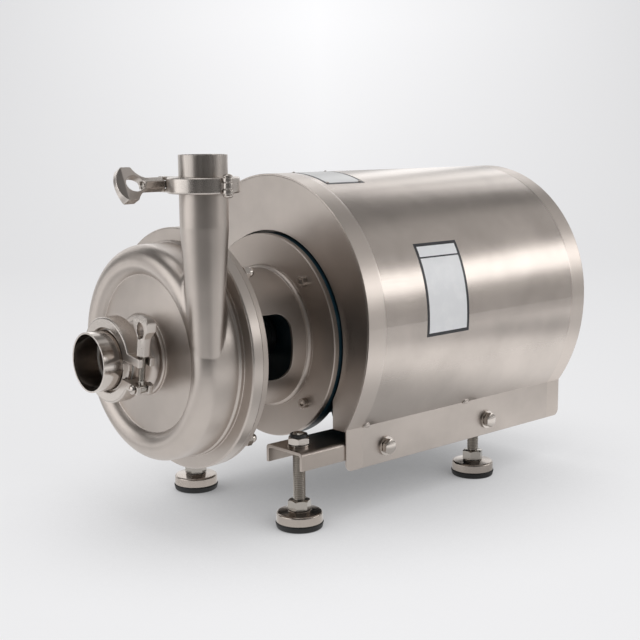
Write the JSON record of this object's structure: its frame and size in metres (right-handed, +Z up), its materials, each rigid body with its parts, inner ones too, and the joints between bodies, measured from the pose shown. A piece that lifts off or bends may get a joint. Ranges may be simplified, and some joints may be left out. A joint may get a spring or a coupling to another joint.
{
  "type": "sanitary centrifugal pump",
  "caption": "Close-coupled stainless sanitary centrifugal pump with volute casing, clamp ports, windowed adapter, covered motor and levelling feet.",
  "frame": {"origin": "centre of the footprint on the floor, under the middle of the pump's overall box", "axes": "+X from the suction port to the rear of the motor cover along the shaft, +Z up"},
  "size_m": [0.532, 0.274, 0.3465],
  "materials": {
    "stainless_satin": "satin blasted stainless steel",
    "stainless_bright": "bright machined stainless steel",
    "black_rubber": "black rubber",
    "seal_white": "white sealing rubber",
    "motor_paint": "dark blue-green paint",
    "machined_steel": "machined steel",
    "winding_steel": "laminated core with varnished windings",
    "seal_carbon": "seal face carbon",
    "fan_plastic": "black moulded plastic"
  },
  "bodies": {
    "pump_unit": {"volute_casing": "stainless_satin", "back_cover": "stainless_satin", "casing_seal_ring": "seal_white", "motor_adapter": "stainless_satin", "casing_studs": "stainless_bright", "casing_acorn_nuts": "stainless_bright", "adapter_screws": "stainless_bright", "seal_stationary_ring": "seal_carbon", "motor_flange_shield": "motor_paint", "motor_frame": "motor_paint", "motor_rear_shield": "motor_paint", "motor_stator": "winding_steel", "motor_bearings": "machined_steel", "fan_cover": "motor_paint", "terminal_box": "motor_paint", "motor_foot_bolts": "stainless_bright", "cover_wrap": "stainless_satin", "cover_front_plate": "stainless_satin", "cover_rear_plate": "stainless_satin", "cover_bolts": "stainless_bright", "cover_washers": "stainless_bright", "base_rail_near": "stainless_satin", "base_rail_far": "stainless_satin", "foot_lock_nuts": "stainless_bright", "foot_washers": "stainless_bright", "suction_ferrule": "stainless_bright", "suction_gasket": "seal_white", "suction_clamp_fixed_half": "stainless_bright", "suction_clamp_pins": "stainless_bright", "discharge_ferrule": "stainless_bright", "discharge_gasket": "seal_white", "discharge_clamp_fixed_half": "stainless_bright", "discharge_clamp_pins": "stainless_bright"},
    "rotor": {"impeller": "stainless_satin", "impeller_nut": "stainless_bright", "pump_shaft": "stainless_bright", "seal_rotating_ring": "seal_carbon", "seal_bellows": "black_rubber", "seal_drive_collar": "stainless_bright", "shaft_slinger": "black_rubber", "motor_rotor": "machined_steel", "motor_fan": "fan_plastic"},
    "suction_swing_half": {"suction_clamp_swing_half": "stainless_bright"},
    "suction_bolt": {"suction_swing_bolt": "stainless_bright"},
    "suction_nut": {"suction_wing_nut": "stainless_bright"},
    "discharge_swing_half": {"discharge_clamp_swing_half": "stainless_bright"},
    "discharge_bolt": {"discharge_swing_bolt": "stainless_bright"},
    "discharge_nut": {"discharge_wing_nut": "stainless_bright"},
    "foot_front_near": {"foot_pad_front_near": "black_rubber", "foot_cup_front_near": "stainless_bright", "foot_stem_front_near": "stainless_bright"},
    "foot_rear_near": {"foot_pad_rear_near": "black_rubber", "foot_cup_rear_near": "stainless_bright", "foot_stem_rear_near": "stainless_bright"},
    "foot_front_far": {"foot_pad_front_far": "black_rubber", "foot_cup_front_far": "stainless_bright", "foot_stem_front_far": "stainless_bright"},
    "foot_rear_far": {"foot_pad_rear_far": "black_rubber", "foot_cup_rear_far": "stainless_bright", "foot_stem_rear_far": "stainless_bright"}
  },
  "joints": [
    {"name": "rotor_spin", "type": "hinge", "parent": "pump_unit", "child": "rotor", "pos_m": [-0.2, 0, 0.168], "axis": [1, 0, 0], "continuous": true},
    {"name": "suction_nut_travel", "type": "slide", "parent": "suction_bolt", "child": "suction_nut", "axis": [0, -0.1564, 0.9877], "range_m": [0, 0.015]},
    {"name": "suction_half_hinge", "type": "hinge", "parent": "pump_unit", "child": "suction_swing_half", "pos_m": [-0.241, 0.0405, 0.17441], "axis": [-1, 0, 0], "range_deg": [0, 8.6]},
    {"name": "suction_bolt_swing", "type": "hinge", "parent": "pump_unit", "child": "suction_bolt", "pos_m": [-0.241, -0.04352, 0.14871], "axis": [1, 0, 0], "range_deg": [0, 95]},
    {"name": "discharge_nut_travel", "type": "slide", "parent": "discharge_bolt", "child": "discharge_nut", "axis": [-1, 0, 0], "range_m": [0, 0.015]},
    {"name": "discharge_half_hinge", "type": "hinge", "parent": "pump_unit", "child": "discharge_swing_half", "pos_m": [-0.2, -0.1178, 0.3215], "axis": [0, 0, 1], "range_deg": [0, 10.7]},
    {"name": "discharge_bolt_swing", "type": "hinge", "parent": "pump_unit", "child": "discharge_bolt", "pos_m": [-0.18775, -0.0482, 0.3215], "axis": [0, 0, -1], "range_deg": [0, 95]},
    {"name": "foot_travel_front_near", "type": "slide", "parent": "pump_unit", "child": "foot_front_near", "axis": [0, 0, 1], "range_m": [0, 0.025]},
    {"name": "foot_travel_rear_near", "type": "slide", "parent": "pump_unit", "child": "foot_rear_near", "axis": [0, 0, 1], "range_m": [0, 0.025]},
    {"name": "foot_travel_front_far", "type": "slide", "parent": "pump_unit", "child": "foot_front_far", "axis": [0, 0, 1], "range_m": [0, 0.025]},
    {"name": "foot_travel_rear_far", "type": "slide", "parent": "pump_unit", "child": "foot_rear_far", "axis": [0, 0, 1], "range_m": [0, 0.025]}
  ],
  "couplings": [
    {"joint": "suction_half_hinge", "follows": "suction_nut_travel", "rad_per_m": 9.7701},
    {"joint": "discharge_half_hinge", "follows": "discharge_nut_travel", "rad_per_m": 12.213}
  ]
}
